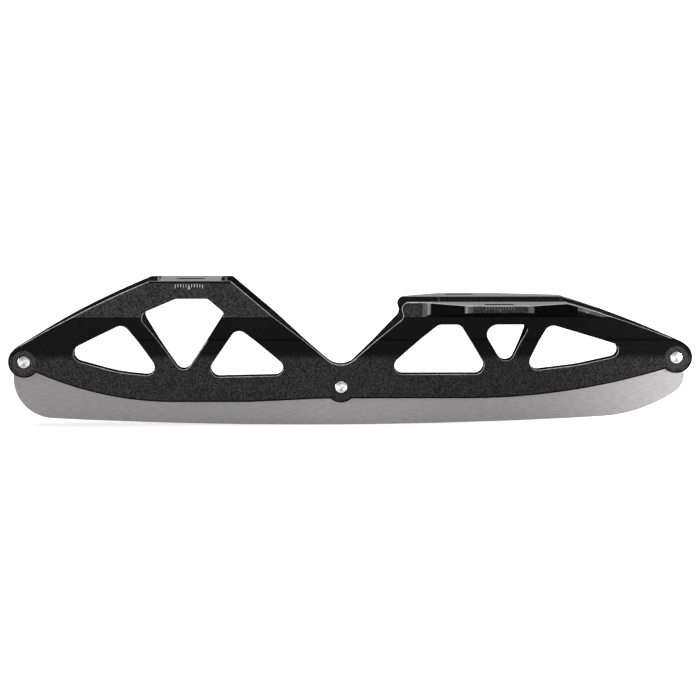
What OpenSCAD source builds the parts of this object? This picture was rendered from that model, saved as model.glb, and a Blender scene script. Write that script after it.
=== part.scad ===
// Ice skate blade for a three-point boot mount, left foot.
// X runs from heel to toe, Y from the medial side to the lateral side, Z up from the ice.
// The origin lies on the ice, in the middle of the length, on the blade's middle plane.

/* [Axles] */
// Distance from the rear axle to the front axle, along X
axle_span = 387; // [370:1:410]
// Height of the rear axle above the ice
rear_axle_z = 38; // [35:0.5:41]
// Place of the middle axle along X
mid_axle_x = -5.6; // [-12:0.1:2]
// Height of the middle axle above the ice
mid_axle_z = 23; // [21:0.5:25]
// Height of the front axle above the ice
front_axle_z = 40.3; // [37:0.1:43]
// Diameter of an axle bolt's shank
axle_d = 8; // [6:0.1:9]
// Diameter of an axle bolt's head
axle_head_d = 12.4; // [10.5:0.1:13]
// Height of an axle bolt's head
axle_head_h = 3; // [2:0.1:5]
// Width across flats of the hexagon socket in an axle bolt's head
socket_af = 5; // [3:0.5:6]
// Depth of the hexagon socket
socket_depth = 2.2; // [1:0.1:3]
// Bevel round an axle bolt's end and its head
axle_bevel = 0.5; // [0.2:0.1:0.9]
// How far an axle bolt's end lies below the medial face
tip_recess = 0.3; // [0:0.1:1]
// Clearance of an axle bolt in its holes, on the radius
axle_clear = 0.1; // [0.05:0.05:0.3]

/* [Blade] */
// Thickness of the steel blade
blade_t = 3; // [1.2:0.1:4]
// Clearance between the blade and each wall of the frame
blade_clear = 0.1; // [0.05:0.05:0.3]
// Radius of the rocker, the long curve that the blade runs on
rocker_r = 3000; // [2000:50:8000]
// Place along X where the rocker touches level ice
rocker_x = -20; // [-40:1:20]
// Radius of the blade's round heel end
blade_heel_r = 24; // [18:1:28]
// Distance from the rear axle back to the blade's heel end
blade_heel_reach = 6.5; // [5.5:0.1:7.5]
// Distance from the front axle on to the blade's toe end
blade_toe_reach = 5; // [4:0.1:7]
// Where the toe curve's two tangents meet, behind the toe end
toe_bend_back = 28; // [22:0.5:34]
// Radius of the long curve under the toe
toe_curve_r = 85; // [50:1:110]
// Radius of the short curve at the tip of the toe
toe_tip_r = 13; // [6:0.5:16]
// Height of the toe tip's corner above the ice
toe_tip_z = 22.6; // [20:0.2:25]
// How deep the blade sits in the frame
blade_seat = 12; // [10:0.5:13]
// Radius of the blade's eyes round the axles
blade_eye_r = 8; // [6.5:0.1:8.5]

/* [Frame outline] */
// Radius of the frame's round ends and of the middle boss
boss_r = 9.4; // [8.7:0.1:10.5]
// Height of the frame's lower edge under the heel
heel_low_z = 14; // [12.5:0.1:15]
// Height of the frame's lower edge under the toe
toe_low_z = 16; // [15:0.1:17]
// Radius of the lower edge as it rises to the rear axle
rear_low_r = 200; // [180:5:230]
// Radius of the lower edge as it rises to the front axle
front_low_r = 400; // [370:5:440]
// Length along X of the lower edge's rise to the rear axle
rear_rise_len = 89.5; // [85:0.5:94]
// Length along X of the lower edge's rise to the front axle
front_rise_len = 123.5; // [119:0.5:132]
// How far behind the middle axle the lower edge starts to drop to its height under the heel
ramp_back = 54; // [44:1:64]
// Height of the lowest point of the gap between heel and toe, without its rounding
vee_z = 32.2; // [30.6:0.2:34]
// Rounding at the bottom of the gap between heel and toe
vee_r = 12; // [6:0.5:16]
// Radius of the bowed top edge from the heel down to the rear axle
rear_bow_r = 520; // [400:10:1200]
// Radius of the bowed top edge from the front mount down to the front axle
front_bow_r = 560; // [450:10:1500]
// Rounding of the outline's other corners
edge_r = 1; // [0.5:0.1:3]

/* [Cross-section] */
// Width of the frame over the lower walls
low_w = 11; // [10:0.1:13]
// Width of the frame over the upper walls
top_w = 42; // [39:0.5:46]
// Height where the lower walls start to lean out
lean_z = 43.5; // [42:0.5:45]
// Height where the walls bend out to the flare
flare_low_z = 51; // [49:0.5:52]
// Width over the walls where they bend out to the flare
flare_low_w = 15.6; // [14:0.2:18]
// Height where the flare ends and the walls stand upright
flare_top_z = 66; // [64:0.5:67]
// Thickness of the leaning and upper walls
wall_t = 4; // [3:0.1:4.5]

/* [Heel mount] */
// Place of the heel mount's middle along X
heel_x = -94.4; // [-98:0.2:-91]
// Height of the heel mount's top face above the ice
heel_z = 87.2; // [83:0.1:92]
// Length of the heel mount's top face
heel_len = 48.2; // [44:0.2:54]
// Length of the web that joins the walls under the heel
heel_web_len = 36.8; // [30:0.2:40]
// Thickness of the heel web
heel_web_t = 6; // [4:0.1:8]
// Radius of the fillets between a web and the walls
web_fillet_r = 3; // [1:0.1:4]
// Length of a bolt slot
slot_len = 18; // [12:0.1:22]
// Width of a bolt slot
slot_w = 6.5; // [5:0.1:7]

/* [Front mount] */
// Height of the front mount's top faces above the ice
front_z = 74.7; // [73.2:0.1:76.5]
// Place along X of the front mount's rear corner, without its rounding
front_rear_x = 28.1; // [26:0.1:31]
// Rounding of the front mount's rear corner and of the neck below it
front_nose_r = 4; // [2.5:0.1:4.2]
// How much further back the lateral wall's rear corner and neck lie
lateral_nose_back = 1.5; // [0.3:0.1:2.5]
// How far the neck lies ahead of the front mount's rear corner
neck_ahead = 3.3; // [2:0.1:4.2]
// How far the neck lies below the front mount's top
neck_drop = 9; // [8:0.1:10]
// Place along X of the edge where the top slopes down to the toe
front_edge_x = 126; // [122:0.5:132]
// Width over both ears
ears_w = 86.5; // [82:0.5:94]
// Thickness of an ear at its outer edge
ear_t = 4.5; // [3:0.1:5.5]
// Distance across between the two ear slots
ear_slot_span = 70; // [64:0.5:74]
// Place along X of the medial ear's slot
medial_slot_x = 86; // [83:0.1:89]
// Length of the medial ear's straight outer edge
medial_edge_len = 36; // [32:0.5:40]
// Length along X of the medial ear's rear taper
medial_rear_taper = 23.5; // [18:0.5:28]
// Length along X of the medial ear's front taper
medial_front_taper = 33; // [26:0.5:40]
// Place along X of the lateral ear's slot
lateral_slot_x = 66; // [62:0.1:69]
// Distance from the lateral slot back to the ear's rear corner
lateral_edge_back = 13; // [12:0.5:16]
// Distance from the lateral slot on to the ear's front corner
lateral_edge_ahead = 22.5; // [18:0.5:28]
// Length along X of the lateral ear's rear taper
lateral_rear_taper = 24; // [20:0.5:28]
// Length along X of the lateral ear's front taper
lateral_front_taper = 70; // [56:1:80]
// Rounding of the ears' corners
ear_r = 8; // [4:0.5:12]
// Rounding of the ears' blunter corners, ahead of the slots
ear_blunt_r = 16; // [8:0.5:24]
// Middle of the front web along X
front_web_x = 89.6; // [86:0.2:93]
// Length of the web that joins the walls between the ears
front_web_len = 40; // [30:0.5:46]
// Thickness of the front web
front_web_t = 5; // [3:0.1:6]
// Depth of the front web below the ears' top faces
front_web_drop = 5; // [3.5:0.1:6]
// Length of the milled pocket between the ears
pocket_len = 77; // [70:0.5:84]
// How much wider than the channel the pocket is, on each side
pocket_side = 0.4; // [0.2:0.1:1.2]

/* [Windows] */
// Height of the lower chord under the heel, from the lower edge to the windows
chord_h = 14.8; // [13.5:0.1:16]
// Height of the lower chord under the toe
toe_chord_h = 14.5; // [13:0.1:15.5]
// How much the lower chord grows to the outer end of the rear window
rear_chord_rise = 1; // [0:0.1:2]
// How much the lower chord grows to the outer end of the front window
front_chord_rise = 0.5; // [0:0.1:1.5]
// Material left along the rear slope, at the rear window
rear_rim = 17.4; // [16:0.1:19]
// Material left along the rear slope, at the heel window
heel_rear_rim = 15.7; // [14.5:0.1:17.5]
// Material left under the heel mount
heel_rim = 10.3; // [9.5:0.1:12.5]
// Material left along the gap between heel and toe, at the heel window
heel_front_rim = 16.8; // [15.5:0.1:18]
// Material left along the gap between heel and toe, at the window behind the middle axle
vee_rim = 18.9; // [17:0.1:20]
// Material left along the gap between heel and toe, at the window ahead of the middle axle
toe_rear_rim = 17.1; // [16:0.1:18.5]
// Material left under the front mount
front_rim = 13.6; // [12.6:0.1:15]
// Material left along the front slope
toe_rim = 15.7; // [14:0.1:17]
// Width of the struts under the heel
heel_strut_w = 10.2; // [8.5:0.1:12]
// Width of the struts under the toe
toe_strut_w = 9.7; // [8:0.1:11.5]
// Foot of the strut behind the heel window, measured from the heel mount's middle
heel_strut_rear = -10.1; // [-11.5:0.1:-9]
// Foot of the strut ahead of the heel window, measured from the heel mount's middle
heel_strut_front = 1; // [0:0.1:3]
// Foot of the strut behind the toe's middle window, measured from the medial slot
toe_strut_rear = 2.4; // [1:0.1:4]
// Foot of the strut ahead of the toe's middle window, measured from the medial slot
toe_strut_front = 10.8; // [9.5:0.1:12]
// Lean from the ice of the strut behind the heel window
rear_strut_lean = 55; // [53:0.5:58]
// Lean of the strut ahead of the heel window
heel_strut_lean = 56.4; // [54:0.2:59]
// Lean of the strut behind the toe's middle window
toe_strut_lean = 59.4; // [57:0.2:62]
// Lean of the strut ahead of the toe's middle window
front_strut_lean = 64.7; // [62:0.1:68]
// Where the rear window's upper edge runs with the slope, as a share of the slope from the heel mount
rear_slope_share = 0.42; // [0.2:0.02:0.6]
// Where the front window's upper edge runs with the slope, as a share of the slope from the front mount
toe_slope_share = 0.17; // [0.05:0.01:0.4]
// Distance from the rear axle to the rear end of the rear window's floor, without its rounding
rear_floor_gap = 29; // [25:0.5:33]
// Distance from the front axle to the front end of the front window's floor, without its rounding
front_floor_gap = 27; // [23:0.5:31]
// Rounding of the bends in those floors
floor_bend_r = 80; // [40:5:120]
// Rounding of the windows' corners
window_r = 5; // [2:0.1:5.5]
// Rounding of the heel window's upper corners, and of the toe's middle window's upper front corner
heel_window_r = 3.2; // [2:0.1:4]
// Rounding of the corner that points at the middle axle, in the window behind it
vee_corner_r = 4.8; // [4:0.1:7]
// Rounding of the corner that points at the rear axle
rear_corner_r = 5.3; // [3:0.1:6]
// Rounding of the corner that points at the front axle
toe_corner_r = 4.5; // [2:0.1:5]
// Rounding of the upper rear corner of the toe's middle window
toe_window_r = 6.2; // [3:0.1:7]
// Diameter of the flat that is milled round an axle
spot_d = 13.8; // [13.2:0.1:14.5]
// Depth of that flat in the lower wall's face
spot_depth = 0.15; // [0.1:0.05:0.5]

/* [Hidden] */
$fn = 96;
// Angle between two points of a rounded corner
corner_step = 6;
// Spacing of the points on the long curves
curve_step = 8;
// How far cutters run past what they cut
past = 5;
// Extra width of the raw section, milled off to the finished width
skim = 0.3;

rear_axle = [-axle_span / 2, rear_axle_z];
mid_axle = [mid_axle_x, mid_axle_z];
front_axle = [axle_span / 2, front_axle_z];
axles = [rear_axle, mid_axle, front_axle];
half_low = low_w / 2;
half_top = top_w / 2;
half_slot = blade_t / 2 + blade_clear;
spot_y = half_low - spot_depth;

function unit(v) = v / norm(v);
// The line through p and q, moved to its left by d
function shifted(p, q, d) = let (n = unit([p.y - q.y, q.x - p.x])) [p + n * d, q + n * d];
// Where two lines cross
function meet(a, b) =
    let (u = a[1] - a[0], v = b[1] - b[0], w = b[0] - a[0])
    a[0] + u * (cross(w, v) / cross(u, v));
// The line through p that leans at an angle from X
function leaning(p, angle) = [p, p + [cos(angle), sin(angle)]];
// Points on an arc about c
function arc(c, r, from, to) =
    let (turn = abs(to - from), n = max(2, ceil(turn / corner_step), ceil(r * turn * PI / 180 / curve_step)))
    [for (i = [0:n]) c + r * [cos(from + (to - from) * i / n), sin(from + (to - from) * i / n)]];
// The corner q between p and s, rounded to radius r
function corner(p, q, s, r) =
    let (
        u = unit(p - q),
        v = unit(s - q),
        half = acos(u * v) / 2,
        c = q + unit(u + v) * r / sin(half),
        a = q + u * r / tan(half) - c,
        from = atan2(a.y, a.x),
        turn = (180 - 2 * half) * sign(cross(v, u)) * -1
    )
    arc(c, r, from, from - turn);
// An outline of [x, y] or [x, y, rounding] points, with its corners rounded
function rounded(points) =
    let (n = len(points), at = [for (p = points) [p.x, p.y]])
    [for (i = [0:n - 1])
        each (len(points[i]) > 2 && points[i][2] > 0)
            ? corner(at[(i + n - 1) % n], at[i], at[(i + 1) % n], points[i][2])
            : [at[i]]];
function with_r(p, r) = [p.x, p.y, r];
function between(a, b, share) = a + (b - a) * share;
// Half an outline to one side of the Y axis, made whole
function mirrored(half) = concat(half, [for (i = [len(half) - 1:-1:0]) [-half[i].x, half[i].y]]);
// Where two circles cross, on the left or right of the way from the first to the second
function circles_meet(c, r, d, q, side) =
    let (w = d - c, l = norm(w), a = (l * l + r * r - q * q) / (2 * l), h = sqrt(r * r - a * a))
    c + unit(w) * a + side * h * [-w.y, w.x] / l;
function angle_at(p, c) = atan2(p.y - c.y, p.x - c.x);
// Points on the arc about c from p to q
function bow(c, r, p, q) = arc(c, r, angle_at(p, c), angle_at(q, c));
// The tangent to a circle about c, at the point above x
function tangent_at(c, r, x) =
    let (p = [x, c.y + sqrt(r * r - (x - c.x) * (x - c.x))]) [p, p + [p.y - c.y, c.x - p.x]];

rear_rise_x = rear_axle.x + rear_rise_len;
front_rise_x = front_axle.x - front_rise_len;
ramp_from = mid_axle_x - ramp_back;
ramp_to = mid_axle_x - boss_r;
function arc_rise(run, r) = r - sqrt(r * r - run * run);
// Height of the frame's lower edge at x
function low_edge(x) =
    x < rear_rise_x ? heel_low_z + arc_rise(rear_rise_x - x, rear_low_r)
    : x < ramp_from ? heel_low_z
    : x < ramp_to ? heel_low_z + (toe_low_z - heel_low_z) * (x - ramp_from) / (ramp_to - ramp_from)
    : x < front_rise_x ? toe_low_z
    : toe_low_z + arc_rise(x - front_rise_x, front_low_r);
function along(x0, x1) =
    let (n = ceil(abs(x1 - x0) / curve_step)) [for (i = [0:n]) x0 + (x1 - x0) * i / n];
function rocker(x) = arc_rise(x - rocker_x, rocker_r);

// Corners of the frame's outline
heel_rear = [heel_x - heel_len / 2, heel_z];
heel_front = [heel_x + heel_len / 2, heel_z];
vee = [mid_axle_x, vee_z];
front_rear = [front_rear_x, front_z];
neck = [front_rear_x + neck_ahead, front_z - neck_drop];
front_edge = [front_edge_x, front_z];
// The bowed top edges pass through a mount's corner and touch an end boss
rear_bow = circles_meet(heel_rear, rear_bow_r, rear_axle, rear_bow_r - boss_r, 1);
front_bow = circles_meet(front_edge, front_bow_r, front_axle, front_bow_r - boss_r, -1);
rear_touch = rear_bow + unit(rear_axle - rear_bow) * rear_bow_r;
front_touch = front_bow + unit(front_axle - front_bow) * front_bow_r;
vee_rear = [heel_front, vee];
vee_front = [vee, neck];

// Lines that bound the windows
rear_limit = tangent_at(rear_bow, rear_bow_r - rear_rim, between(heel_rear.x, rear_touch.x, rear_slope_share));
heel_rear_limit = tangent_at(rear_bow, rear_bow_r - heel_rear_rim, heel_rear.x);
heel_limit = shifted(heel_rear, heel_front, -heel_rim);
heel_front_limit = shifted(vee_rear[0], vee_rear[1], -heel_front_rim);
vee_rear_limit = shifted(vee_rear[0], vee_rear[1], -vee_rim);
toe_rear_limit = shifted(vee_front[0], vee_front[1], -toe_rear_rim);
front_limit = shifted(front_rear, front_edge, -front_rim);
toe_limit = tangent_at(front_bow, front_bow_r - toe_rim, between(front_edge.x, front_touch.x, toe_slope_share));
toe_chord = [[0, toe_low_z + toe_chord_h], [1, toe_low_z + toe_chord_h]];
// A point of the lower chord's upper side, at x
function on_chord(x, rise = 0) = [x, low_edge(x) + (x < mid_axle_x ? chord_h : toe_chord_h) + rise];

// Half a strut's width, measured along X
function strut_half(width, lean) = [width / 2 / sin(lean), 0];
rear_half = strut_half(heel_strut_w, rear_strut_lean);
heel_half = strut_half(heel_strut_w, heel_strut_lean);
toe_half = strut_half(toe_strut_w, toe_strut_lean);
front_half = strut_half(toe_strut_w, front_strut_lean);
rear_foot = [heel_x + heel_strut_rear, heel_low_z + chord_h];
heel_foot = [heel_x + heel_strut_front, heel_low_z + chord_h];
toe_foot = [medial_slot_x + toe_strut_rear, toe_low_z + toe_chord_h];
front_foot = [medial_slot_x + toe_strut_front, toe_low_z + toe_chord_h];
// The two sides of each strut
rear_strut_back = leaning(rear_foot - rear_half, 180 - rear_strut_lean);
rear_strut_ahead = leaning(rear_foot + rear_half, 180 - rear_strut_lean);
heel_strut_back = leaning(heel_foot - heel_half, heel_strut_lean);
heel_strut_ahead = leaning(heel_foot + heel_half, heel_strut_lean);
toe_strut_back = leaning(toe_foot - toe_half, 180 - toe_strut_lean);
toe_strut_ahead = leaning(toe_foot + toe_half, 180 - toe_strut_lean);
front_strut_back = leaning(front_foot - front_half, front_strut_lean);
front_strut_ahead = leaning(front_foot + front_half, front_strut_lean);

// The floors of these windows run with the frame's lower edge
rear_end = on_chord(rear_axle.x + rear_floor_gap, rear_chord_rise);
rear_strut_end = on_chord(rear_foot.x - rear_half.x);
rear_bend = on_chord((rear_end.x + rear_strut_end.x) / 2);
rear_floor = [rear_end, rear_bend];
heel_floor = [rear_bend, rear_strut_end];
vee_floor = [on_chord(heel_foot.x + heel_half.x), on_chord((ramp_from + ramp_to) / 2)];
front_end = on_chord(front_axle.x - front_floor_gap, front_chord_rise);
front_strut_end = on_chord(front_foot.x + front_half.x);
front_bend = on_chord((front_end.x + front_strut_end.x) / 2);
toe_floor = [front_strut_end, front_bend];
tip_floor = [front_bend, front_end];

rear_window = [
    with_r(meet(rear_limit, rear_floor), rear_corner_r),
    with_r(rear_bend, floor_bend_r),
    with_r(meet(heel_floor, rear_strut_back), window_r),
    with_r(meet(rear_strut_back, rear_limit), window_r)
];
heel_window = [
    with_r(meet(rear_strut_ahead, heel_strut_back), window_r),
    with_r(meet(heel_strut_back, heel_front_limit), heel_window_r),
    with_r(meet(heel_front_limit, heel_limit), heel_window_r),
    with_r(meet(heel_limit, heel_rear_limit), heel_window_r),
    with_r(meet(heel_rear_limit, rear_strut_ahead), window_r)
];
vee_window = [
    with_r(meet(heel_strut_ahead, vee_floor), window_r),
    with_r(meet(vee_floor, vee_rear_limit), vee_corner_r),
    with_r(meet(vee_rear_limit, heel_strut_ahead), window_r)
];
toe_rear_window = [
    with_r(meet(toe_rear_limit, toe_chord), window_r),
    with_r(meet(toe_chord, toe_strut_back), window_r),
    with_r(meet(toe_strut_back, front_limit), window_r),
    with_r(meet(front_limit, toe_rear_limit), window_r)
];
toe_middle_window = [
    with_r(meet(toe_strut_ahead, front_strut_back), window_r),
    with_r(meet(front_strut_back, front_limit), heel_window_r),
    with_r(meet(front_limit, toe_strut_ahead), toe_window_r)
];
toe_front_window = [
    with_r(meet(front_strut_ahead, toe_floor), window_r),
    with_r(front_bend, floor_bend_r),
    with_r(meet(tip_floor, toe_limit), toe_corner_r),
    with_r(meet(toe_limit, front_strut_ahead), window_r)
];
windows = [rear_window, heel_window, vee_window, toe_rear_window, toe_middle_window, toe_front_window];

// Where the frame's lower edge meets the three bosses
rear_low_centre = [rear_rise_x, heel_low_z + rear_low_r];
front_low_centre = [front_rise_x, toe_low_z + front_low_r];
rear_neck = circles_meet(rear_axle, boss_r, rear_low_centre, rear_low_r, -1);
front_neck = circles_meet(front_axle, boss_r, front_low_centre, front_low_r, 1);
mid_boss_half = sqrt(boss_r * boss_r - (mid_axle_z - toe_low_z) * (mid_axle_z - toe_low_z));
mid_boss_from = [mid_axle_x + mid_boss_half, toe_low_z];
mid_boss_to = [mid_axle_x - mid_boss_half, toe_low_z];
function low_points(from, to) = [for (x = along(from, to)) [x, low_edge(x)]];
function without_ends(list) = [for (i = [1:len(list) - 2]) list[i]];

side_points = concat(
    arc(rear_axle, boss_r, angle_at(rear_neck, rear_axle), angle_at(rear_touch, rear_axle) - 360),
    without_ends(bow(rear_bow, rear_bow_r, rear_touch, heel_rear)),
    [with_r(heel_rear, edge_r), with_r(heel_front, edge_r), with_r(vee, vee_r)],
    [with_r(neck, front_nose_r), with_r(front_rear, front_nose_r), with_r(front_edge, edge_r)],
    without_ends(bow(front_bow, front_bow_r, front_edge, front_touch)),
    arc(front_axle, boss_r, angle_at(front_touch, front_axle), angle_at(front_neck, front_axle)),
    without_ends(low_points(front_neck.x, mid_boss_from.x)),
    arc(mid_axle, boss_r, angle_at(mid_boss_from, mid_axle), angle_at(mid_boss_to, mid_axle)),
    without_ends(low_points(mid_boss_to.x, rear_neck.x))
);

// The raw section
lean_angle = atan2((flare_low_w - low_w) / 2, flare_low_z - lean_z);
flare_angle = atan2(half_top - flare_low_w / 2, flare_top_z - flare_low_z);
// A corner of the wall moved in by the wall's thickness, between faces that lean by a and b
function inset(p, a, b) =
    p + wall_t / cos((b - a) / 2) * [-cos((a + b) / 2), sin((a + b) / 2)];
inner_bend = inset([flare_low_w / 2, flare_low_z], lean_angle, flare_angle);
inner_top = inset([half_top, flare_top_z], flare_angle, 0);
inner_foot = [half_slot, inner_bend.y - (inner_bend.x - half_slot) / tan(lean_angle)];

outer_section = mirrored([
    [half_low, -past],
    [half_low, lean_z],
    [flare_low_w / 2, flare_low_z],
    [half_top + skim, flare_top_z],
    [ears_w / 2 + skim, front_z - ear_t],
    [ears_w / 2 + skim, front_z + past],
    [half_top + skim, front_z + past],
    [half_top + skim, heel_z + past]
]);
inner_section = mirrored([
    [half_slot, -2 * past],
    inner_foot,
    inner_bend,
    inner_top,
    [inner_top.x, heel_z + 2 * past]
]);

module along_x(length) {
    rotate([90, 0, 90]) linear_extrude(length, center = true) children();
}

module across_y(width) {
    rotate([90, 0, 0]) linear_extrude(width, center = true) children();
}

ear_y = ears_w / 2;
medial_rear_x = medial_slot_x - medial_edge_len / 2;
medial_front_x = medial_slot_x + medial_edge_len / 2;
lateral_rear_x = lateral_slot_x - lateral_edge_back;
lateral_front_x = lateral_slot_x + lateral_edge_ahead;
plan_end = axle_span / 2 + boss_r + past;

module plan_outline() {
    polygon(rounded([
        [-plan_end, -half_top],
        [medial_rear_x - medial_rear_taper, -half_top, ear_r],
        [medial_rear_x, -ear_y, ear_r],
        [medial_front_x, -ear_y, ear_r],
        [medial_front_x + medial_front_taper, -half_top, ear_blunt_r],
        [plan_end, -half_top],
        [plan_end, half_top],
        [lateral_front_x + lateral_front_taper, half_top, ear_r],
        [lateral_front_x, ear_y, ear_blunt_r],
        [lateral_rear_x, ear_y, ear_r],
        [lateral_rear_x - lateral_rear_taper, half_top],
        [-plan_end, half_top]
    ]));
}

// The lateral wall's rear corner, and the slope up to it, which lie further back than on the medial side
module lateral_nose() {
    back = [lateral_nose_back, 0];
    width = ears_w / 2 + past;
    inside = front_rear_x + 4 * front_nose_r;
    translate([0, width / 2, 0]) across_y(width) polygon(rounded([
        vee,
        with_r(neck - back, front_nose_r),
        with_r(front_rear - back, front_nose_r),
        [inside, front_z],
        [inside, neck.y]
    ]));
}

// A web between the walls, with a fillet at each of its four corners
module web(x, length, bottom, top) {
    reach = inner_top.x + wall_t / 2;
    side = length / 2 + 2 * web_fillet_r;
    translate([x, 0, bottom]) linear_extrude(top - bottom) polygon(rounded([
        [-side, -reach],
        [side, -reach],
        [side, -inner_top.x],
        [length / 2, -inner_top.x, web_fillet_r],
        [length / 2, inner_top.x, web_fillet_r],
        [side, inner_top.x],
        [side, reach],
        [-side, reach],
        [-side, inner_top.x],
        [-length / 2, inner_top.x, web_fillet_r],
        [-length / 2, -inner_top.x, web_fillet_r],
        [-side, -inner_top.x]
    ]));
}

module channel() {
    front_web_top = front_z - front_web_drop;
    difference() {
        along_x(2 * plan_end) polygon(inner_section);
        web(heel_x, heel_web_len, heel_z - heel_web_t, heel_z + 3 * past);
        web(front_web_x, front_web_len, front_web_top - front_web_t, front_web_top);
    }
}

module pocket() {
    x = front_web_x;
    half = pocket_len / 2;
    wide = inner_top.x + pocket_side;
    r = web_fillet_r;
    translate([x, 0, front_z - front_web_drop]) linear_extrude(front_web_drop + past) polygon(rounded([
        [-half, -wide, r],
        [half, -wide, r],
        [half, wide, r],
        [-half, wide, r]
    ]));
}

module slot(x, y, z, depth) {
    half = (slot_len - slot_w) / 2;
    translate([x, y, z - depth - past]) {
        translate([-half, 0, 0]) cylinder(d = slot_w, h = depth + 2 * past);
        translate([half, 0, 0]) cylinder(d = slot_w, h = depth + 2 * past);
        translate([-half, -slot_w / 2, 0]) cube([2 * half, slot_w, depth + 2 * past]);
    }
}

module axle_holes() {
    for (a = axles) translate([a.x, 0, a.y]) rotate([90, 0, 0]) {
        cylinder(r = axle_d / 2 + axle_clear, h = low_w + 2 * past, center = true);
        for (side = [0, 180]) rotate([side, 0, 0])
            translate([0, 0, spot_y]) cylinder(d = spot_d, h = half_top);
    }
}

module frame() {
    color([0.13, 0.13, 0.14]) difference() {
        intersection() {
            along_x(2 * plan_end - past) polygon(outer_section);
            union() {
                across_y(ears_w + 2 * past) polygon(rounded(side_points));
                lateral_nose();
            }
            translate([0, 0, -2 * past]) linear_extrude(heel_z + 4 * past) plan_outline();
        }
        channel();
        pocket();
        for (w = windows) across_y(top_w + 2 * past) polygon(rounded(w));
        axle_holes();
        slot(heel_x, 0, heel_z, heel_web_t);
        slot(medial_slot_x, -ear_slot_span / 2, front_z, ear_t);
        slot(lateral_slot_x, ear_slot_span / 2, front_z, ear_t);
    }
}

// The blade's outline: heel, rocker, toe, and back along the edge that sits in the frame
blade_heel_x = rear_axle.x - blade_heel_reach;
blade_toe_x = front_axle.x + blade_toe_reach;
heel_turn = [blade_heel_x + blade_heel_r, rocker(blade_heel_x + blade_heel_r) + blade_heel_r];
toe_bend_x = blade_toe_x - toe_bend_back;
toe_turn = atan2(toe_tip_z - rocker(toe_bend_x), toe_bend_back);
rocker_end = toe_bend_x - toe_curve_r * tan(toe_turn / 2);

module blade() {
    color([0.66, 0.66, 0.67]) across_y(blade_t) difference() {
        union() {
            polygon(rounded(concat(
                [[blade_heel_x, rear_axle_z]],
                arc(heel_turn, blade_heel_r, 180, 270),
                [for (x = along(heel_turn.x + curve_step, rocker_x)) [x, rocker(x)]],
                [for (x = along(rocker_x + curve_step, rocker_end)) [x, rocker(x)]],
                [[toe_bend_x, rocker(toe_bend_x), toe_curve_r]],
                [[blade_toe_x, toe_tip_z, toe_tip_r]],
                [[blade_toe_x, front_axle_z]],
                [for (x = along(front_axle.x - blade_eye_r / 2, rear_axle.x + blade_eye_r / 2))
                    [x, low_edge(x) + blade_seat]]
            )));
            for (a = axles) translate(a) circle(blade_eye_r);
        }
        for (a = axles) translate(a) circle(axle_d / 2 + axle_clear);
    }
}

// A bolt from the lateral side through both walls and the blade, its end flush with the medial wall
module axle_bolt(at) {
    r = axle_d / 2;
    head = axle_head_d / 2;
    tip = half_low - tip_recess;
    color([0.75, 0.75, 0.76]) translate([at.x, 0, at.y]) rotate([-90, 0, 0]) difference() {
        rotate_extrude() polygon([
            [0, -tip],
            [r - axle_bevel, -tip],
            [r, -tip + axle_bevel],
            [r, spot_y],
            [head, spot_y],
            [head, spot_y + axle_head_h - axle_bevel],
            [head - axle_bevel, spot_y + axle_head_h],
            [0, spot_y + axle_head_h]
        ]);
        translate([0, 0, spot_y + axle_head_h - socket_depth])
            cylinder(d = socket_af / cos(30), h = socket_depth + past, $fn = 6);
    }
}

frame();
blade();
axle_bolt(rear_axle);  // rear_axle_bolt
axle_bolt(mid_axle);  // middle_axle_bolt
axle_bolt(front_axle);  // front_axle_bolt
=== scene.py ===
import math

import bmesh
import bpy
from mathutils import Matrix, Vector


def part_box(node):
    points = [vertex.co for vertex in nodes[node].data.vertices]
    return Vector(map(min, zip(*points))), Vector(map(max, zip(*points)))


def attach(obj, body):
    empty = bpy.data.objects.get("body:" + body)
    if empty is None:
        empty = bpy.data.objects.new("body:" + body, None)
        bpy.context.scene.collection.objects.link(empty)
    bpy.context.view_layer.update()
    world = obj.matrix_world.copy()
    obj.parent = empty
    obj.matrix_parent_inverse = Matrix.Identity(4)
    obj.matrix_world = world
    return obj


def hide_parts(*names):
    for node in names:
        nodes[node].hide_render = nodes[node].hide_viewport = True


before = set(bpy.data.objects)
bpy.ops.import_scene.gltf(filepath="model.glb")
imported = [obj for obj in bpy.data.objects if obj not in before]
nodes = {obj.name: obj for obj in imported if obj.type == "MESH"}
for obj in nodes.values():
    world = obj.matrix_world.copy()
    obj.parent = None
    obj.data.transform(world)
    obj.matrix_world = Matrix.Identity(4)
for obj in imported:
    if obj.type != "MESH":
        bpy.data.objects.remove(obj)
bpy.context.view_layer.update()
scene = bpy.context.scene
scene.view_settings.view_transform = "Standard"
print("frame loaded:", sorted(nodes))


# object helpers

def addObject(name, data):
    obj = bpy.data.objects.new(name, data)
    scene.collection.objects.link(obj)
    return obj


def meshFrom(bm, name):
    mesh = bpy.data.meshes.new(name)
    bm.to_mesh(mesh)
    bm.free()
    return mesh


def vertsOf(geom):
    return [g for g in geom if isinstance(g, bmesh.types.BMVert)]


# each element once, in the order given, so that every run builds the same mesh
def unique(elements):
    return list(dict.fromkeys(elements))


def smoothFaces(mesh):
    mesh.polygons.foreach_set("use_smooth", [True] * len(mesh.polygons))


# camera

viewpoint = {"distance": 1.75, "elevation": 6.1, "turn": -0.77, "aim": (-0.000297, 0.0, 0.044457),
             "lens": 151.43, "sensor": 36.0, "clipEnd": 50}


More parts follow.
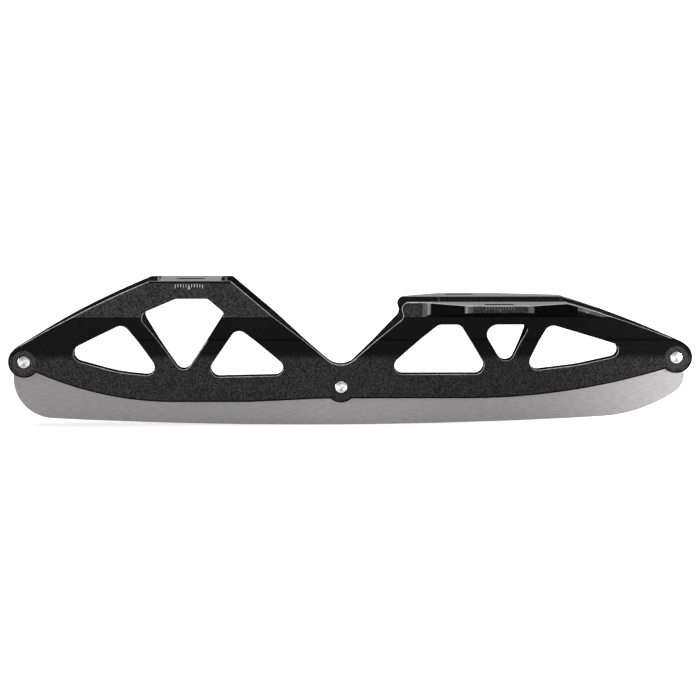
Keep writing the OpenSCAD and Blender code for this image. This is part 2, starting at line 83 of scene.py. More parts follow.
def makeCamera(v):
    data = bpy.data.cameras.new("camera")
    data.lens = v["lens"]
    data.sensor_width = v["sensor"]
    data.clip_end = v["clipEnd"]
    turn = Matrix.Rotation(math.radians(v["turn"]), 4, "Z")
    look = turn @ Matrix.Rotation(math.radians(90 - v["elevation"]), 4, "X")
    obj = addObject("camera", data)
    obj.location = Vector(v["aim"]) + look @ Vector((0, 0, v["distance"]))
    obj.rotation_euler = look.to_euler()
    scene.camera = obj


makeCamera(viewpoint)
print("camera set")


# axles

def axleCentre(name):
    low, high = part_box(name)
    return (low + high) / 2


boltNodes = ("rear_axle_bolt", "middle_axle_bolt", "front_axle_bolt")
axles = [axleCentre(name) for name in boltNodes]
endAxles = (axles[0], axles[-1])


# node helpers; a Mix node's two inputs and its output go by number

mixColours = {"first": 6, "second": 7, "out": 2}
mixFloats = {"first": 2, "second": 3, "out": 0}


def addNode(tree, kind, at, values=None, **settings):
    node = tree.nodes.new(kind)
    node.location = at
    for name, value in settings.items():
        setattr(node, name, value)
    for name, value in (values or {}).items():
        node.inputs[name].default_value = value
    return node


def addRange(tree, at, given=(0.0, 1.0), made=(0.0, 1.0), **settings):
    values = {"From Min": given[0], "From Max": given[1], "To Min": made[0], "To Max": made[1]}
    return addNode(tree, "ShaderNodeMapRange", at, values, **settings)


def addTint(tree, at, dark, light):
    values = {mixColours["first"]: dark, mixColours["second"]: light}
    return addNode(tree, "ShaderNodeMix", at, values, data_type="RGBA")


def addMath(tree, at, operation, second=None):
    values = {} if second is None else {1: second}
    return addNode(tree, "ShaderNodeMath", at, values, operation=operation)


# each wire is a node, its output, the next node and its input
def wire(tree, *wires):
    for source, output, target, entry in wires:
        tree.links.new(source.outputs[output], target.inputs[entry])


def newGroup(name, inputs, outputs):
    tree = bpy.data.node_groups.new(name, "ShaderNodeTree")
    for socket, kind in inputs:
        tree.interface.new_socket(socket, in_out="INPUT", socket_type=kind)
    for socket in outputs:
        tree.interface.new_socket(socket, in_out="OUTPUT", socket_type="NodeSocketFloat")
    return tree, addNode(tree, "NodeGroupInput", (-900, 0)), addNode(tree, "NodeGroupOutput", (700, 0))


def newMaterial(name):
    material = bpy.data.materials.new(name)
    material.use_nodes = True
    material.node_tree.nodes.clear()
    return material, material.node_tree


def grey(level, blue):
    return (level, level, blue, 1)


# blasted grain: fine speckle of bead-blasted, anodised metal

grainLook = {"speckle": (0.4, 0.62), "fineRatio": 3.1, "fineShare": 0.5, "cloud": 45.0, "depth": 0.0002}


def makeBlastGrain(s):
    inputs = [("Vector", "NodeSocketVector"), ("Grain Size", "NodeSocketFloat")]
    tree, gin, gout = newGroup("blastGrain", inputs, ["Speckle", "Height", "Cloud"])
    coarse = addNode(tree, "ShaderNodeTexNoise", (-600, 200), {"Detail": 2.0, "Roughness": 0.6})
    fineScale = addMath(tree, (-750, -120), "MULTIPLY", s["fineRatio"])
    fine = addNode(tree, "ShaderNodeTexNoise", (-600, -120), {"Detail": 1.0, "Roughness": 0.5})
    cloud = addNode(tree, "ShaderNodeTexNoise", (-600, -420), {"Scale": s["cloud"], "Detail": 2.0})
    spread = addRange(tree, (-350, 200), s["speckle"], interpolation_type="SMOOTHSTEP")
    both = addMath(tree, (-150, -60), "MULTIPLY_ADD", s["fineShare"])
    wire(tree,
         (gin, "Vector", coarse, "Vector"),
         (gin, "Vector", fine, "Vector"),
         (gin, "Vector", cloud, "Vector"),
         (gin, "Grain Size", coarse, "Scale"),
         (gin, "Grain Size", fineScale, 0),
         (fineScale, 0, fine, "Scale"),
         (coarse, 0, spread, "Value"),
         (fine, 0, both, 0),
         (spread, 0, both, 2),
         (spread, 0, gout, "Speckle"),
         (both, 0, gout, "Height"),
         (cloud, 0, gout, "Cloud"))
    return tree


blastGrain = makeBlastGrain(grainLook)

# black anodised aluminium: one recipe, with its own values for each kind of face; the blasted, faced and
# rounded sets are the metal's own finish, the darker sets are painted shade and the pale set for chamfers a
# painted highlight

blackFinish = {
    "blasted": {"dark": grey(0.010, 0.0105), "light": grey(0.058, 0.059), "roughness": (0.5, 0.62),
                "specular": 0.08, "grain": 1500.0, "bump": 0.12},
    # painted shade: the dark set for outward wall faces that face down or stand above the blasted band
    "shadedWall": {"dark": grey(0.0055, 0.006), "light": grey(0.0105, 0.011), "roughness": (0.55, 0.68),
              "specular": 0.02, "grain": 1500.0, "bump": 0.06, "shadeEdge": (0.0382, 0.0432),
              "spot": 0.0069, "spotHighlight": 1.5, "creaseAt": 0.0513, "crease": (0.0003, 0.0012),
              "creaseDepth": 0.4, "creaseEnd": (-0.13, -0.118)},
    # painted shade: darker faces between the two walls
    "inside": {"dark": grey(0.006, 0.0064), "light": grey(0.026, 0.0265), "roughness": (0.55, 0.65),
               "specular": 0.0, "grain": 1600.0, "bump": 0.06},
    "faced": {"dark": grey(0.02, 0.0205), "light": grey(0.04, 0.041), "roughness": (0.4, 0.48),
              "specular": 0.3, "grain": 2200.0, "bump": 0.03},
    # painted highlight: pale chamfers where they face up or towards the middle
    "edge": {"dark": grey(0.3, 0.302), "light": grey(0.5, 0.502), "roughness": (0.3, 0.42),
             "specular": 0.5, "grain": 600.0, "bump": 0.0},
    "round": {"dark": grey(0.010, 0.0105), "light": grey(0.03, 0.031), "roughness": (0.23, 0.3),
              "specular": 0.7, "grain": 1600.0, "bump": 0.03},
    # painted shade: near-black for slot walls, the ear's tapers, chamfers that face down, the wide chamfers
    # and other side faces
    "cut": {"dark": grey(0.003, 0.0032), "light": grey(0.007, 0.0073), "roughness": (0.6, 0.7),
            "specular": 0.0, "grain": 1600.0, "bump": 0.05},
}
finishOrder = list(blackFinish)


# painted shade: above a soft line low on the wall these faces take the dark shade colour in place of the
# blasted skin, except on the spot faces round the end axles, which keep the blasted skin lifted paler as a
# painted highlight; a line of painted shade darkens the crease along the wall from the rear window to the toe
def paintedShadeTint(tree, place, grain, tint, s):
    blasted = blackFinish["blasted"]
    parts = addNode(tree, "ShaderNodeSeparateXYZ", (-1500, 420))
    flat = addNode(tree, "ShaderNodeCombineXYZ", (-1300, 700))
    rise = addRange(tree, (-650, 420), s["shadeEdge"], interpolation_type="SMOOTHSTEP")
    skin = addTint(tree, (-350, 480), blasted["dark"], blasted["light"])
    both = addNode(tree, "ShaderNodeMix", (-150, 340), data_type="RGBA")
    clear = addMath(tree, (-700, 800), "MULTIPLY")
    for i, axle in enumerate(endAxles):
        height = 700 + 200 * i
        centre = {1: (axle.x, 0.0, axle.z)}
        reach = addNode(tree, "ShaderNodeVectorMath", (-1100, height), centre, operation="DISTANCE")
        outside = addMath(tree, (-900, height), "GREATER_THAN", s["spot"])
        wire(tree, (flat, 0, reach, 0), (reach, "Value", outside, 0), (outside, 0, clear, i))
    kept = addMath(tree, (-450, 700), "MULTIPLY")
    # painted highlight: the spot faces round the end axles are lifted paler
    lift = addRange(tree, (-450, 900), made=(s["spotHighlight"], 1.0))
    lifted = addNode(tree, "ShaderNodeVectorMath", (-250, 640), operation="SCALE")
    # painted shade: a darker line along the crease of the wall, gone behind the rear window
    offset = addMath(tree, (-1100, 200), "SUBTRACT", s["creaseAt"])
    away = addMath(tree, (-900, 200), "ABSOLUTE")
    shade = addRange(tree, (-700, 200), s["crease"], (s["creaseDepth"], 1.0))
    gone = addRange(tree, (-900, 20), s["creaseEnd"], (1.0, 0.0))
    line = addMath(tree, (-500, 200), "MAXIMUM")
    creased = addNode(tree, "ShaderNodeVectorMath", (-120, 520), operation="SCALE")
    wire(tree,
         (place, "Object", parts, 0),
         (parts, "X", flat, "X"),
         (parts, "Z", flat, "Z"),
         (parts, "Z", rise, "Value"),
         (rise, 0, kept, 0),
         (clear, 0, kept, 1),
         (clear, 0, lift, "Value"),
         (grain, "Speckle", skin, 0),
         (skin, mixColours["out"], lifted, 0),
         (lift, 0, lifted, "Scale"),
         (parts, "Z", offset, 0),
         (offset, 0, away, 0),
         (away, 0, shade, "Value"),
         (parts, "X", gone, "Value"),
         (shade, 0, line, 0),
         (gone, 0, line, 1),
         (tint, mixColours["out"], creased, 0),
         (line, 0, creased, "Scale"),
         (kept, 0, both, 0),
         (lifted, 0, both, mixColours["first"]),
         (creased, 0, both, mixColours["second"]))
    return both


def makeBlackMaterial(name, s):
    material, tree = newMaterial(name)
    place = addNode(tree, "ShaderNodeTexCoord", (-1100, 0))
    grain = addNode(tree, "ShaderNodeGroup", (-650, 0), {"Grain Size": s["grain"]}, node_tree=blastGrain)
    tint = addTint(tree, (-350, 200), s["dark"], s["light"])
    rough = addRange(tree, (-350, -80), made=s["roughness"])
    relief = {"Strength": s["bump"], "Distance": grainLook["depth"]}
    bump = addNode(tree, "ShaderNodeBump", (-350, -360), relief)
    coat = {"Metallic": 0.0, "Specular IOR Level": s["specular"]}
    shader = addNode(tree, "ShaderNodeBsdfPrincipled", (0, 100), coat)
    out = addNode(tree, "ShaderNodeOutputMaterial", (320, 100))
    skin = paintedShadeTint(tree, place, grain, tint, s) if "shadeEdge" in s else tint
    wire(tree,
         (place, "Object", grain, "Vector"),
         (grain, "Speckle", tint, 0),
         (grain, "Cloud", rough, "Value"),
         (grain, "Height", bump, "Height"),
         (skin, mixColours["out"], shader, "Base Color"),
         (rough, 0, shader, "Roughness"),
         (bump, 0, shader, "Normal"),
         (shader, 0, out, "Surface"))
    return material


blacks = {name: makeBlackMaterial(name + "Black", s) for name, s in blackFinish.items()}


# brushed blade steel: fine lines along X

bladeFinish = {"dark": (0.212, 0.208, 0.208, 1), "light": (0.292, 0.286, 0.286, 1),
               "stretch": (200.0, 40.0, 1900.0), "contrast": (0.3, 0.7), "broad": 28.0,
               "roughness": (0.4, 0.48), "bump": 0.05, "depth": 0.0001}


def makeBladeMaterial(name, s):
    material, tree = newMaterial(name)
    place = addNode(tree, "ShaderNodeTexCoord", (-1150, 0))
    stretch = addNode(tree, "ShaderNodeMapping", (-950, 0), {"Scale": s["stretch"]})
    lines = addNode(tree, "ShaderNodeTexNoise", (-700, 120), {"Scale": 1.0, "Detail": 3.0, "Roughness": 0.65})
    broad = addNode(tree, "ShaderNodeTexNoise", (-700, -200), {"Scale": s["broad"], "Detail": 1.0})
    spread = addRange(tree, (-450, 120), s["contrast"])
    tint = addTint(tree, (-200, 220), s["dark"], s["light"])
    rough = addRange(tree, (-200, -60), made=s["roughness"])
    bump = addNode(tree, "ShaderNodeBump", (-200, -340), {"Strength": s["bump"], "Distance": s["depth"]})
    shader = addNode(tree, "ShaderNodeBsdfPrincipled", (120, 100), {"Metallic": 1.0})
    out = addNode(tree, "ShaderNodeOutputMaterial", (420, 100))
    wire(tree,
         (place, "Object", stretch, "Vector"),
         (stretch, 0, lines, "Vector"),
         (place, "Object", broad, "Vector"),
         (lines, 0, spread, "Value"),
         (spread, 0, tint, 0),
         (broad, 0, rough, "Value"),
         (spread, 0, bump, "Height"),
         (tint, mixColours["out"], shader, "Base Color"),
         (rough, 0, shader, "Roughness"),
         (bump, 0, shader, "Normal"),
         (shader, 0, out, "Surface"))
    return material


bladeSteel = makeBladeMaterial("bladeSteel", bladeFinish)


# turned bolt ends: rings round each bolt's axis as bumps, two pale wedges of painted sheen opposite each
# other, and some wear

boltFinish = {"dark": grey(0.2, 0.2), "light": grey(0.78, 0.79), "rings": 1900.0, "sheenSectors": 2.0,
              "wear": 620.0, "contrast": (0.4, 0.6), "wearShare": 0.55, "roughness": 0.2, "bump": 0.15,
              "depth": 0.0001}


def makeTurnedRings(s):
    tree, gin, gout = newGroup("turnedRings", [("Vector", "NodeSocketVector")], ["Rings", "SheenAndWear"])
    parts = addNode(tree, "ShaderNodeSeparateXYZ", (-700, 0))
    flat = addNode(tree, "ShaderNodeCombineXYZ", (-520, 0))
    radius = addNode(tree, "ShaderNodeVectorMath", (-340, 0), operation="LENGTH")
    ringLook = {"Scale": s["rings"], "Detail": 2.0, "Roughness": 0.7}
    ring = addNode(tree, "ShaderNodeTexNoise", (-100, 0), ringLook, noise_dimensions="1D")
    # painted sheen: the colour is paler in two wedges opposite each other, mixed with the wear
    turn = addMath(tree, (-340, -250), "ARCTAN2")
    sheenSectors = addMath(tree, (-160, -250), "MULTIPLY", s["sheenSectors"])
    wave = addMath(tree, (0, -250), "COSINE")
    half = addRange(tree, (180, -250), (-1.0, 1.0))
    wornLook = {"Scale": s["wear"], "Detail": 2.0, "Roughness": 0.6}
    worn = addNode(tree, "ShaderNodeTexNoise", (0, -500), wornLook)
    wear = addRange(tree, (180, -500), s["contrast"])
    mixed = addNode(tree, "ShaderNodeMix", (400, -350), {0: s["wearShare"]}, data_type="FLOAT")
    wire(tree,
         (gin, "Vector", parts, 0),
         (parts, "X", flat, "X"),
         (parts, "Z", flat, "Z"),
         (flat, 0, radius, 0),
         (radius, "Value", ring, "W"),
         (parts, "Z", turn, 0),
         (parts, "X", turn, 1),
         (turn, 0, sheenSectors, 0),
         (sheenSectors, 0, wave, 0),
         (wave, 0, half, "Value"),
         (gin, "Vector", worn, "Vector"),
         (worn, 0, wear, "Value"),
         (half, 0, mixed, mixFloats["first"]),
         (wear, 0, mixed, mixFloats["second"]),
         (ring, 0, gout, "Rings"),
         (mixed, mixFloats["out"], gout, "SheenAndWear"))
    return tree


turnedRings = makeTurnedRings(boltFinish)


def makeBoltMaterial(name, centre, s):
    material, tree = newMaterial(name)
    place = addNode(tree, "ShaderNodeTexCoord", (-950, 0))
    shift = addNode(tree, "ShaderNodeMapping", (-750, 0), {"Location": (-centre.x, 0.0, -centre.z)})
    rings = addNode(tree, "ShaderNodeGroup", (-520, 0), node_tree=turnedRings)
    tint = addTint(tree, (-250, 160), s["dark"], s["light"])
    bump = addNode(tree, "ShaderNodeBump", (-250, -220), {"Strength": s["bump"], "Distance": s["depth"]})
    metal = {"Metallic": 1.0, "Roughness": s["roughness"]}
    shader = addNode(tree, "ShaderNodeBsdfPrincipled", (60, 100), metal)
    out = addNode(tree, "ShaderNodeOutputMaterial", (380, 100))
    wire(tree,
         (place, "Object", shift, "Vector"),
         (shift, 0, rings, "Vector"),
         (rings, "SheenAndWear", tint, 0),
         (rings, "Rings", bump, "Height"),
         (tint, mixColours["out"], shader, "Base Color"),
         (bump, 0, shader, "Normal"),
         (shader, 0, out, "Surface"))
    return material


# pale mark: laser-etched lines of the setting scales

markFinish = {"grain": 2500.0, "roughness": 0.7, "specular": 0.2}


def makeMarkMaterial(name, dark, light, s):
    material, tree = newMaterial(name)
    place = addNode(tree, "ShaderNodeTexCoord", (-900, 0))
    grain = addNode(tree, "ShaderNodeGroup", (-650, 0), {"Grain Size": s["grain"]}, node_tree=blastGrain)
    tint = addTint(tree, (-350, 100), grey(dark, dark), grey(light, light))
    matt = {"Roughness": s["roughness"], "Specular IOR Level": s["specular"]}
    shader = addNode(tree, "ShaderNodeBsdfPrincipled", (0, 100), matt)
    out = addNode(tree, "ShaderNodeOutputMaterial", (320, 100))
    wire(tree,
         (place, "Object", grain, "Vector"),
         (grain, "Speckle", tint, 0),
         (tint, mixColours["out"], shader, "Base Color"),
         (shader, 0, out, "Surface"))
    return material


marks = {"pale": makeMarkMaterial("markPale", 0.55, 0.8, markFinish),
         "dim": makeMarkMaterial("markDim", 0.14, 0.24, markFinish)}
print("materials made")


# pieces that follow a CAD node, with broken edges

# until a face has its finish, its material index says what kind of face it is
faceKind = {"plain": 0, "chamfer": 1, "wideChamfer": 2}
meshClean = {"weld": 2e-6, "sliver": 1e-6, "flatAngle": 0.4}


def nearAxle(p, reach):
    return any(math.hypot(p.x - a.x, p.z - a.z) < reach for a in axles)


# slots are (middle x, middle y, half length, half width)
def inSlot(p, slots):
    return any(abs(p.x - x) < a and abs(p.y - y) < b for x, y, a, b in slots)


# edges round axles and slots stay sharp
def staysSharp(e, s):
    return "clear" in s and all(nearAxle(v.co, s["clear"]) or inSlot(v.co, s["slots"]) for v in e.verts)


def sharpEdges(bm, s):
    bm.normal_update()
    sharp = math.radians(s["sharpAngle"])
    return [e for e in bm.edges if e.is_manifold and e.is_convex and e.calc_face_angle() > sharp
            and all(f.material_index == faceKind["plain"] for f in e.link_faces) and not staysSharp(e, s)]


def isHollow(e, s):
    return e.is_manifold and not e.is_convex and e.calc_face_angle() > math.radians(s["hollowAngle"])


def removeSlivers(bm):
    bmesh.ops.dissolve_degenerate(bm, dist=meshClean["sliver"], edges=bm.edges)


# beside a corner, where more than two sharp or hollow edges meet, facets shorter than a chamfer is wide
# would fold over, so they are merged into the corner first
def mergeShortFacets(bm, s):
    lowest, highest = s["merge"]
    sharp = set(sharpEdges(bm, s))
    verts = [v for v in bm.verts if lowest < v.co.z < highest and any(e in sharp for e in v.link_edges)]
    bmesh.ops.remove_doubles(bm, verts=verts, dist=s["tinyFacet"])
    edges = sharpEdges(bm, s)
    sharp = set(edges)
    merges = {}
    for e in edges:
        corners = [v for v in e.verts if sum(g in sharp or isHollow(g, s) for g in v.link_edges) > 2]
        if len(corners) == 1 and e.calc_length() < s["shortFacet"] and lowest < corners[0].co.z < highest:
            merges.setdefault(e.other_vert(corners[0]), corners[0])
    bmesh.ops.weld_verts(bm, targetmap=merges)
    removeSlivers(bm)


# a chamfer stops one short facet before a hollow corner, and the edges under the heel's web stay sharp
def breakable(edges, s):
    ends = {}
    for e in edges:
        for v in e.verts:
            ends[v] = ends.get(v, 0) + 1
    stops = {v for v in ends if ends[v] == 1 and any(isHollow(g, s) for g in v.link_edges)}
    under, slack = s["webUnder"]
    return [e for e in edges if not (e.calc_length() < s["stopLength"] and any(v in stops for v in e.verts))
            and not all(abs(v.co.z - under) < slack for v in e.verts)]


def breakEdges(bm, edges, width, kind, s):
    made = bmesh.ops.bevel(bm, geom=edges, offset=width, offset_type="OFFSET", affect="EDGES",
                           segments=s["segments"], profile=0.5, material=-1, clamp_overlap=False,
                           loop_slide=kind == "wideChamfer")["faces"]
    for f in made:
        f.material_index = faceKind[kind]


# the frame's lower edges, its end bosses' rims and the heel's flat top have a wider chamfer
def inWideZone(p, s):
    if p.z > s["heelTop"]:
        return True
    if abs(p.x) < s["lowReach"]:
        return p.z < s["lowTop"]
    return nearAxle(p, s["rim"]) or p.z < s["endTop"]


# the rear slope, down to its boss, and the heel's slopes keep the narrow chamfer
def isWide(e, s):
    p = (e.verts[0].co + e.verts[1].co) / 2
    outer = any(f.normal.y * f.calc_center_median().y > 0 and abs(f.normal.y) > s["sideways"]
                for f in e.link_faces)
    up = max(f.normal.z for f in e.link_faces)
    onRearSlope = p.x < -s["lowReach"] and up > s["slopeUp"]
    onHeelSlope = p.z > s["heelTop"] and up < s["flatUp"]
    return outer and not onRearSlope and not onHeelSlope and inWideZone(p, s)


def edgePiece(node, name, s):
    mesh = nodes[node].data.copy()
    mesh.name = name
    mesh.materials.clear()
    bm = bmesh.new()
    bm.from_mesh(mesh)
    bmesh.ops.remove_doubles(bm, verts=bm.verts, dist=meshClean["weld"])
    removeSlivers(bm)
    flat = math.radians(meshClean["flatAngle"])
    bmesh.ops.dissolve_limit(bm, angle_limit=flat, verts=bm.verts, edges=bm.edges, delimit={"NORMAL"})
    for f in bm.faces:
        f.material_index = faceKind["plain"]
    if "wide" in s:
        mergeShortFacets(bm, s)
        breakEdges(bm, [e for e in sharpEdges(bm, s) if isWide(e, s)], s["wide"], "wideChamfer", s)
    edges = sharpEdges(bm, s)
    if "webUnder" in s:
        edges = breakable(edges, s)
    breakEdges(bm, edges, s["chamfer"], s["kind"], s)
    removeSlivers(bm)
    bm.to_mesh(mesh)
    bm.free()
    smoothFaces(mesh)
    mesh.set_sharp_from_angle(angle=math.radians(s["smoothAngle"]))
    obj = addObject(name, mesh)
    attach(obj, "root")
    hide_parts(node)
    print(name, "edges broken:", len(edges), "faces:", len(mesh.polygons))
    return obj


# frame

frameEdges = {"chamfer": 0.00035, "kind": "chamfer", "segments": 1, "sharpAngle": 38, "smoothAngle": 13,
              "roundAngle": 24, "wide": 0.00095, "sideways": 0.5, "heelTop": 0.0861, "lowTop": 0.0275,
              "lowReach": 0.166, "rim": 0.0106, "endTop": 0.034, "slopeUp": 0.8, "flatUp": 0.99,
              "hollowAngle": 30, "tinyFacet": 0.00015, "shortFacet": 0.0008, "merge": (0.06, 0.08),
              "stopLength": 0.002, "webUnder": (0.0812, 1e-5), "clear": 0.0073,
              "slots": [(-0.0944, 0.0, 0.0093, 0.0036), (0.086, -0.035, 0.0093, 0.0036),
                        (0.066, 0.035, 0.0093, 0.0036)]}
frameBody = edgePiece("frame", "milled_frame", frameEdges)

# the ears' edges stand back, so that the marks on them stay inside the frame's width
earEdge = {"back": 0.00003, "slack": 0.00001}
frameSide = max(v.co.y for v in frameBody.data.vertices)
for v in frameBody.data.vertices:
    if abs(v.co.y) > frameSide - earEdge["slack"]:
        v.co.y -= math.copysign(earEdge["back"], v.co.y)

# at the medial ear's two roots only the upper part of the wall, above a line with a rise along X, is glossy;
# the wall below the line gets painted shade, the shadow under the ear
earRoots = [{"reach": (0.0425, 0.0492), "at": (0.0437, 0.0, 0.0664), "rise": 0.56},
            {"reach": (0.132, 0.152), "at": (0.1333, 0.0, 0.06976), "rise": -0.267}]
rootWall = {"out": -0.3, "upright": 0.05, "side": (-0.027, -0.0205), "above": 0.064}


def onEarRoot(n, c, s):
    low, high = rootWall["side"]
    facesOut = n.y < rootWall["out"] and abs(n.z) < rootWall["upright"]
    return facesOut and s["reach"][0] < c.x < s["reach"][1] and low < c.y < high and c.z > rootWall["above"]


def splitEarRoots(mesh):
    bm = bmesh.new()
    bm.from_mesh(mesh)
    for s in earRoots:
        faces = [f for f in bm.faces if f.material_index == faceKind["plain"]
                 and onEarRoot(f.normal, f.calc_center_median(), s)]
        edges = unique(e for f in faces for e in f.edges)
        verts = unique(v for f in faces for v in f.verts)
        bmesh.ops.bisect_plane(bm, geom=faces + edges + verts, dist=meshClean["sliver"], plane_co=s["at"],
                               plane_no=(-s["rise"], 0, 1))
    bm.to_mesh(mesh)
    bm.free()


splitEarRoots(frameBody.data)

# where each finish ends: parts of a face's normal ("out" is away from the middle plane), places and one area
finishLimits = {
    "slot": {"upright": 0.5},
    "edge": {"out": 0.25, "up": 0.12, "down": -0.55, "turn": 0.3, "middle": -0.024},
    "faced": {"up": 0.95, "above": 0.06},
    "shadedWall": {"out": 0.3, "down": -0.12, "below": 0.06},
    "ear": {"above": 0.064, "ahead": 0.02, "turn": 0.05, "beyond": 0.0205, "roundArea": 1.2e-5},
    "innerRound": {"out": -0.15, "turn": 0.1, "upright": 0.3},
    "inside": {"out": -0.5},
}


# painted highlight: chamfers get a pale colour where they face up, or towards a place in the middle of the
# frame
def isPaintedBright(n, c, s):
    facesMiddle = n.z > s["down"] and abs(n.x) > s["turn"] and n.x * (s["middle"] - c.x) > 0
    return n.z > s["up"] or facesMiddle


def onEarSide(n, c, s):
    return c.z > s["above"] and c.x > s["ahead"] and abs(n.x) > s["turn"] and abs(c.y) > s["beyond"]


def onInnerRound(n, out, s):
    return out < s["out"] and abs(n.x) > s["turn"] and abs(n.z) < s["upright"]


def frameFinish(face, s):
    n, c = face.normal, face.center
    out = n.y if c.y > 0 else -n.y
    # painted shade: the walls of the slots are near-black
    if abs(n.z) < s["slot"]["upright"] and inSlot(c, frameEdges["slots"]):
        return "cut"
    # chamfers: those facing up or towards the middle get a pale painted highlight; the wide black chamfers
    # and the others get painted shade
    if face.material_index != faceKind["plain"]:
        black = face.material_index == faceKind["wideChamfer"] and inWideZone(c, frameEdges)
        return "edge" if out > s["edge"]["out"] and isPaintedBright(n, c, s["edge"]) and not black else "cut"
    if n.z > s["faced"]["up"] and c.z > s["faced"]["above"]:
        return "faced"
    for root in earRoots:
        if onEarRoot(n, c, root):
            # above the line the root is glossy; below it the wall gets painted shade for the ear's shadow
            return "round" if c.z - root["at"][2] > root["rise"] * (c.x - root["at"][0]) else "shadedWall"
    # painted shade on outward faces that face down or lie low on the wall
    if out > s["shadedWall"]["out"]:
        if n.z < s["shadedWall"]["down"] or c.z < s["shadedWall"]["below"]:
            return "shadedWall"
        if onEarSide(n, c, s["ear"]):
            # the ear's small rounded facets are glossy; its large taper faces get painted near-black shade
            return "round" if face.area < s["ear"]["roundArea"] else "cut"
        return "blasted"
    if onInnerRound(n, out, s["innerRound"]):
        return "round"
    # faces between the walls get the inner painted shade; the remaining faces get painted near-black shade
    return "inside" if out < s["inside"]["out"] else "cut"


for name in finishOrder:
    frameBody.data.materials.append(blacks[name])
for face in frameBody.data.polygons:
    face.material_index = finishOrder.index(frameFinish(face, finishLimits))


# rounded corners shade smoothly, however coarse their facets are
def smoothRounds(mesh, s):
    roundIndex = finishOrder.index("round")
    widest = math.radians(s["roundAngle"])
    touching = {}
    for face in mesh.polygons:
        for key in face.edge_keys:
            touching.setdefault(key, []).append(face)
    for edge in mesh.edges:
        faces = touching.get(tuple(sorted(edge.vertices)), [])
        if len(faces) == 2 and any(f.material_index == roundIndex for f in faces) \
                and faces[0].normal.angle(faces[1].normal) < widest:
            edge.use_edge_sharp = False


smoothRounds(frameBody.data, frameEdges)


# blade

bladeEdges = {"chamfer": 0.00015, "kind": "plain", "segments": 1, "sharpAngle": 50, "smoothAngle": 20}
bladeStrip = edgePiece("blade", "steel_blade", bladeEdges)
bladeStrip.data.materials.append(bladeSteel)


# bolts

boltEdges = {"chamfer": 0.0001, "kind": "plain", "segments": 2, "sharpAngle": 40, "smoothAngle": 35}
for node, centre in zip(boltNodes, axles):
    bolt = edgePiece(node, node.replace("axle_bolt", "bolt_turned"), boltEdges)
    bolt.data.materials.append(makeBoltMaterial(node + "Steel", centre, boltFinish))


# setting scales: short pale lines on the heel's wall and on the medial ear's edge, each with a nought

scales = [
    {"name": "heel_scale", "middle": -0.0949, "top": 0.0855, "face": -0.021, "pitch": 0.0016,
     "line": (0.00034, 0.00175), "endLine": 0.00235, "nought": (0.00135, 0.0014), "noughtAt": 0.0832,
     "mark": "pale"},
    {"name": "ear_scale", "middle": 0.0862, "top": 0.0742, "face": -0.04322, "pitch": 0.0016,
     "line": (0.00034, 0.0017), "endLine": 0.00215, "nought": (0.00125, 0.0013), "noughtAt": 0.0721,
     "mark": "dim"},
]
markShape = {"proud": 0.00002, "lines": 11, "ringSteps": 20, "ringHole": (0.5, 0.62, 1)}


def addLines(bm, s, m):
    wide, tall = s["line"]
    last = m["lines"] - 1
    for i in range(m["lines"]):
        long = s["endLine"] if i in (0, last) else tall
        x = s["middle"] + (i - last // 2) * s["pitch"]
        size = Matrix.Diagonal((wide, 2 * m["proud"], long, 1))
        where = Matrix.Translation((x, s["face"], s["top"] - long / 2)) @ size
        bmesh.ops.create_cube(bm, size=1, matrix=where)


# the nought is a flat oval ring, made one unit across and then put in its place
def addNought(bm, s, m):
    wide, tall = s["nought"]
    ring = bmesh.ops.create_circle(bm, cap_ends=False, segments=m["ringSteps"], radius=0.5)["verts"]
    loop = unique(e for v in ring for e in v.link_edges)
    inner = bmesh.ops.extrude_edge_only(bm, edges=loop)["geom"]
    bmesh.ops.scale(bm, verts=vertsOf(inner), vec=m["ringHole"])
    faces = [g for g in inner if isinstance(g, bmesh.types.BMFace)]
    raised = vertsOf(bmesh.ops.extrude_face_region(bm, geom=faces)["geom"])
    bmesh.ops.translate(bm, verts=raised, vec=(0, 0, 1))
    whole = unique([v for f in faces for v in f.verts] + raised)
    stand = Matrix.Translation((s["middle"], s["face"] + m["proud"], s["noughtAt"]))
    size = Matrix.Diagonal((wide, tall, 2 * m["proud"], 1))
    bmesh.ops.transform(bm, matrix=stand @ Matrix.Rotation(math.radians(90), 4, "X") @ size, verts=whole)


def makeScale(s):
    bm = bmesh.new()
    addLines(bm, s, markShape)
    addNought(bm, s, markShape)
    bmesh.ops.recalc_face_normals(bm, faces=bm.faces)
    obj = addObject(s["name"], meshFrom(bm, s["name"]))
    obj.data.materials.append(marks[s["mark"]])
    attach(obj, "root")


for s in scales:
    makeScale(s)
print("setting scales made")


# floor, backdrop and light

# near the object the floor glows a little more towards the toe
stageLook = {"floorColour": (0.8, 0.8, 0.8, 1), "glow": (0.4, 1.1), "glowReach": (-0.3, 0.3),
             "farGlow": 0.95, "far": (0.5, 1.1), "lip": 0.6, "reach": 6.0, "back": 2.5, "rise": 4.0,
             "bend": 0.8, "bendSteps": 12}


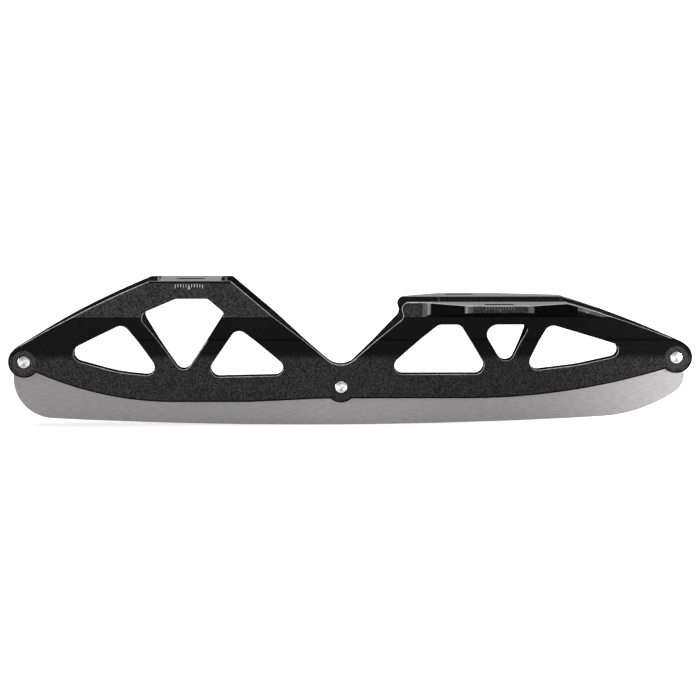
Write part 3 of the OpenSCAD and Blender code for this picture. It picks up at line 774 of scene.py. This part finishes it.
def makeStageMaterial(s):
    material, tree = newMaterial("paleStage")
    path = addNode(tree, "ShaderNodeLightPath", (-700, 200))
    seen = addMath(tree, (-480, 200), "MAXIMUM")
    seenAll = addMath(tree, (-300, 200), "MAXIMUM")
    place = addNode(tree, "ShaderNodeTexCoord", (-900, 500))
    parts = addNode(tree, "ShaderNodeSeparateXYZ", (-700, 500))
    along = addRange(tree, (-480, 500), s["glowReach"], s["glow"])
    distance = addNode(tree, "ShaderNodeVectorMath", (-700, 750), operation="LENGTH")
    away = addRange(tree, (-480, 750), s["far"])
    farGlow = {mixFloats["second"]: s["farGlow"]}
    level = addNode(tree, "ShaderNodeMix", (-280, 500), farGlow, data_type="FLOAT")
    glow = addMath(tree, (-120, 200), "MULTIPLY")
    matte = addNode(tree, "ShaderNodeBsdfDiffuse", (-120, 0), {"Color": s["floorColour"]})
    emit = addNode(tree, "ShaderNodeEmission", (60, 200), {"Color": (1, 1, 1, 1)})
    both = addNode(tree, "ShaderNodeAddShader", (240, 100))
    out = addNode(tree, "ShaderNodeOutputMaterial", (420, 100))
    wire(tree,
         (path, "Is Camera Ray", seen, 0),
         (path, "Is Glossy Ray", seen, 1),
         (seen, 0, seenAll, 0),
         (path, "Is Transmission Ray", seenAll, 1),
         (place, "Object", parts, 0),
         (parts, "X", along, "Value"),
         (place, "Object", distance, 0),
         (distance, "Value", away, "Value"),
         (away, 0, level, 0),
         (along, 0, level, mixFloats["first"]),
         (seenAll, 0, glow, 0),
         (level, mixFloats["out"], glow, 1),
         (glow, 0, emit, "Strength"),
         (matte, 0, both, 0),
         (emit, 0, both, 1),
         (both, 0, out, "Surface"))
    return material


def makeStage(s):
    bendStart = s["back"] - s["bend"]
    section = [(-s["reach"], s["lip"]), (-s["reach"], 0), (bendStart, 0)]
    for i in range(1, s["bendSteps"] + 1):
        a = math.radians(90 * i / s["bendSteps"])
        section.append((bendStart + s["bend"] * math.sin(a), s["bend"] * (1 - math.cos(a))))
    section.append((s["back"], s["rise"]))
    bm = bmesh.new()
    row = [bm.verts.new((-s["reach"], y, z)) for y, z in section]
    edges = [bm.edges.new(pair) for pair in zip(row, row[1:])]
    far = bmesh.ops.extrude_edge_only(bm, edges=edges)["geom"]
    bmesh.ops.translate(bm, verts=vertsOf(far), vec=(2 * s["reach"], 0, 0))
    bmesh.ops.recalc_face_normals(bm, faces=bm.faces)
    obj = addObject("stage", meshFrom(bm, "stage"))
    smoothFaces(obj.data)
    obj.data.materials.append(makeStageMaterial(s))


makeStage(stageLook)

lamps = [
    {"name": "overhead", "at": (0.0, 0.0, 1.7), "aim": (0, 0, 0.05), "size": (2.2, 1.0), "watts": 26.0},
    {"name": "frontRight", "at": (1.6, -1.6, 0.4), "aim": (0.05, 0, 0.05), "size": (0.45, 0.75),
     "watts": 6.5},
    {"name": "frontLeft", "at": (-1.2, -0.7, 0.25), "aim": (-0.15, 0, 0.05), "size": (0.26, 0.45),
     "watts": 9.5},
]
# a soft spot brightens the toe
toeSpot = {"name": "toeSpot", "at": (0.62, -0.9, 0.06), "aim": (0.235, 0.0, 0.025), "watts": 24.0,
           "cone": 12.5, "blend": 1.0, "radius": 0.04}
worldGrey = 0.3


def placeLamp(data, s):
    data.energy = s["watts"]
    obj = addObject(s["name"], data)
    obj.location = s["at"]
    obj.rotation_euler = (Vector(s["aim"]) - Vector(s["at"])).to_track_quat("-Z", "Y").to_euler()


def makeLamp(s):
    data = bpy.data.lights.new(s["name"], "AREA")
    data.shape = "RECTANGLE"
    data.size, data.size_y = s["size"]
    placeLamp(data, s)


def makeSpot(s):
    data = bpy.data.lights.new(s["name"], "SPOT")
    data.spot_size = math.radians(s["cone"])
    data.spot_blend = s["blend"]
    data.shadow_soft_size = s["radius"]
    placeLamp(data, s)


for s in lamps:
    makeLamp(s)
makeSpot(toeSpot)
world = bpy.data.worlds.new("studio")
world.use_nodes = True
world.node_tree.nodes["Background"].inputs["Color"].default_value = grey(worldGrey, worldGrey)
scene.world = world
print("stage lit")
